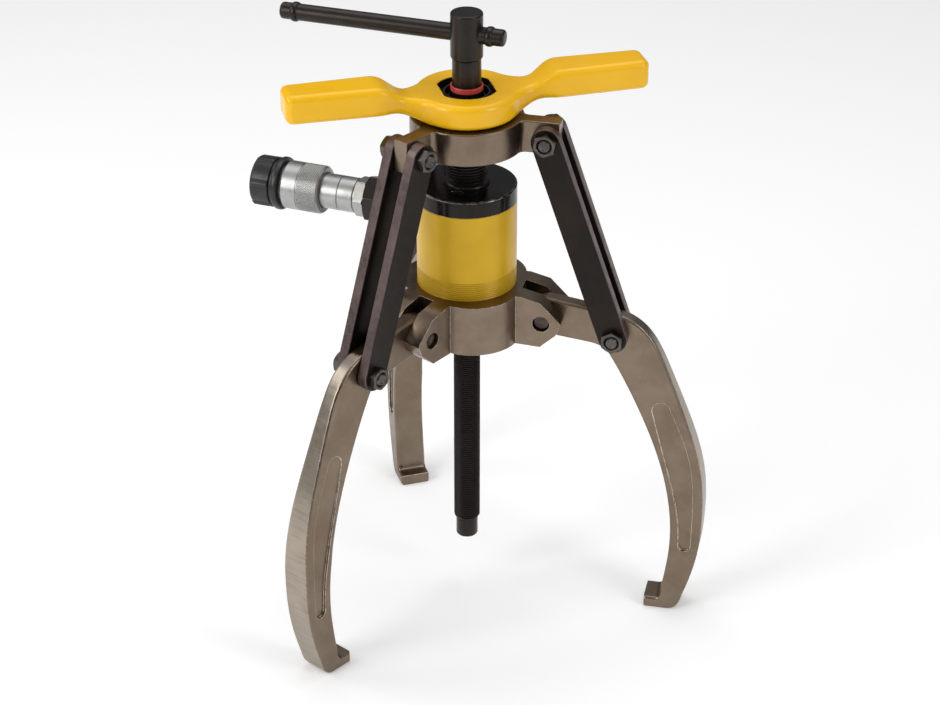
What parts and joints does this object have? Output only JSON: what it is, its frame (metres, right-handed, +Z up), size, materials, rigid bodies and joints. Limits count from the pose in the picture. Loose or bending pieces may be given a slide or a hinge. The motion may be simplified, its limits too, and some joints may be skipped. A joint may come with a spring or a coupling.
{
  "type": "gear puller",
  "caption": "Hydraulic three-jaw gear puller with a synchronised grip: a handle raises a yoke and its links swing the jaws, a hollow cylinder drives the centre screw.",
  "frame": {"origin": "centre of the flat end of the centre screw's tip", "axes": "+Z up along the centre screw towards the T-head, +X to the right as seen from the plug side of the cap, +Y away from it"},
  "size_m": [0.3282, 0.3073, 0.4518],
  "materials": {
    "barrel_paint": "satin yellow paint on machined steel",
    "handle_coat": "thick glossy yellow dip coating",
    "black_oxide": "oiled black oxide",
    "link_black": "black oxide on bar stock, rubbed to brown at the edges",
    "forged_nickel": "warm grey plated forging, satin, bright worn edges",
    "zinc": "bright zinc plate",
    "inner_steel": "ground steel",
    "red_ring": "moulded red polymer",
    "cap_plastic": "moulded black polyethylene",
    "seal_rubber": "nitrile rubber"
  },
  "bodies": {
    "cylinder": {"cylinder_barrel": "barrel_paint", "cylinder_cap": "black_oxide", "cap_plug": "black_oxide", "threaded_sleeve": "black_oxide", "centre_tube": "inner_steel", "return_spring": "inner_steel", "end_gland": "inner_steel", "gland_seal": "seal_rubber", "gland_ring": "inner_steel", "jaw_bracket": "forged_nickel", "jaw_pivot_pins": "inner_steel", "port_fitting": "black_oxide", "coupler_body": "zinc", "coupler_poppet": "inner_steel"},
    "yoke": {"yoke": "forged_nickel"},
    "handle": {"handle": "handle_coat", "drive_nut": "black_oxide", "nut_snap_ring": "black_oxide"},
    "plunger": {"plunger": "inner_steel", "piston_seal": "seal_rubber", "saddle_insert": "inner_steel"},
    "screw_feed": {"screw_ring": "red_ring"},
    "screw": {"centre_screw": "black_oxide"},
    "tommy_bar": {"tommy_bar": "black_oxide", "bar_stop_rings": "black_oxide"},
    "coupler_collar": {"coupler_collar": "zinc"},
    "dust_cap": {"dust_cap": "cap_plastic"},
    "jaw_1": {"jaw_1": "forged_nickel"},
    "links_1": {"link_1_a": "link_black", "link_1_b": "link_black", "link_1_bolts": "black_oxide", "link_1_nuts": "black_oxide"},
    "jaw_2": {"jaw_2": "forged_nickel"},
    "links_2": {"link_2_a": "link_black", "link_2_b": "link_black", "link_2_bolts": "black_oxide", "link_2_nuts": "black_oxide"},
    "jaw_3": {"jaw_3": "forged_nickel"},
    "links_3": {"link_3_a": "link_black", "link_3_b": "link_black", "link_3_bolts": "black_oxide", "link_3_nuts": "black_oxide"}
  },
  "joints": [
    {"name": "yoke_slide", "type": "slide", "parent": "cylinder", "child": "yoke", "axis": [0, 0, 1], "range_m": [-0.01915, 0.0128]},
    {"name": "handle_turn", "type": "hinge", "parent": "yoke", "child": "handle", "pos_m": [0, 0, 0.34], "axis": [0, 0, 1], "range_deg": [-3240, 2160]},
    {"name": "plunger_stroke", "type": "slide", "parent": "cylinder", "child": "plunger", "axis": [0, 0, -1], "range_m": [0, 0.018], "stiffness_N_per_m": 4000, "springref_m": -0.025, "deforming": ["return_spring"]},
    {"name": "screw_advance", "type": "slide", "parent": "plunger", "child": "screw_feed", "axis": [0, 0, 1], "range_m": [-0.0001, 0.0763]},
    {"name": "screw_turn", "type": "hinge", "parent": "screw_feed", "child": "screw", "pos_m": [0, 0, 0], "axis": [0, 0, 1], "range_deg": [0, 17280]},
    {"name": "tommy_slide", "type": "slide", "parent": "screw", "child": "tommy_bar", "axis": [0.9455, -0.3256, 0], "range_m": [-0.0025, 0.108]},
    {"name": "collar_spin", "type": "hinge", "parent": "cylinder", "child": "coupler_collar", "pos_m": [0, 0, 0.2635], "axis": [-0.9336, 0.3584, 0], "continuous": true},
    {"name": "dust_cap_pull", "type": "slide", "parent": "cylinder", "child": "dust_cap", "axis": [-0.9336, 0.3584, 0], "range_m": [0, 0.03]},
    {"name": "jaw_1_swing", "type": "hinge", "parent": "cylinder", "child": "jaw_1", "pos_m": [0.0556, -0.0121, 0.1935], "axis": [-0.2127, -0.9771, 0], "range_deg": [-23.48, 15.72]},
    {"name": "links_1_swing", "type": "hinge", "parent": "yoke", "child": "links_1", "pos_m": [0.0557, -0.01212, 0.3281], "axis": [-0.2127, -0.9771, 0], "range_deg": [-2.26, 1.54]},
    {"name": "jaw_2_swing", "type": "hinge", "parent": "cylinder", "child": "jaw_2", "pos_m": [-0.01732, 0.0542, 0.1935], "axis": [0.9526, 0.3044, 0], "range_deg": [-23.48, 15.72]},
    {"name": "links_2_swing", "type": "hinge", "parent": "yoke", "child": "links_2", "pos_m": [-0.01735, 0.0543, 0.3281], "axis": [0.9526, 0.3044, 0], "range_deg": [-2.26, 1.54]},
    {"name": "jaw_3_swing", "type": "hinge", "parent": "cylinder", "child": "jaw_3", "pos_m": [-0.03828, -0.0421, 0.1935], "axis": [-0.7399, 0.6728, 0], "range_deg": [-23.48, 15.72]},
    {"name": "links_3_swing", "type": "hinge", "parent": "yoke", "child": "links_3", "pos_m": [-0.03835, -0.04217, 0.3281], "axis": [-0.7399, 0.6728, 0], "range_deg": [-2.26, 1.54]}
  ],
  "couplings": [
    {"joint": "yoke_slide", "follows": "handle_turn", "m_per_rad": 0.00033688},
    {"joint": "screw_advance", "follows": "screw_turn", "m_per_rad": 0.00025266},
    {"joint": "jaw_1_swing", "follows": "handle_turn", "ratio": 0.0071856},
    {"joint": "links_1_swing", "follows": "handle_turn", "ratio": 0.00066757},
    {"joint": "jaw_2_swing", "follows": "handle_turn", "ratio": 0.0071856},
    {"joint": "links_2_swing", "follows": "handle_turn", "ratio": 0.00066757},
    {"joint": "jaw_3_swing", "follows": "handle_turn", "ratio": 0.0071856},
    {"joint": "links_3_swing", "follows": "handle_turn", "ratio": 0.00066757}
  ]
}
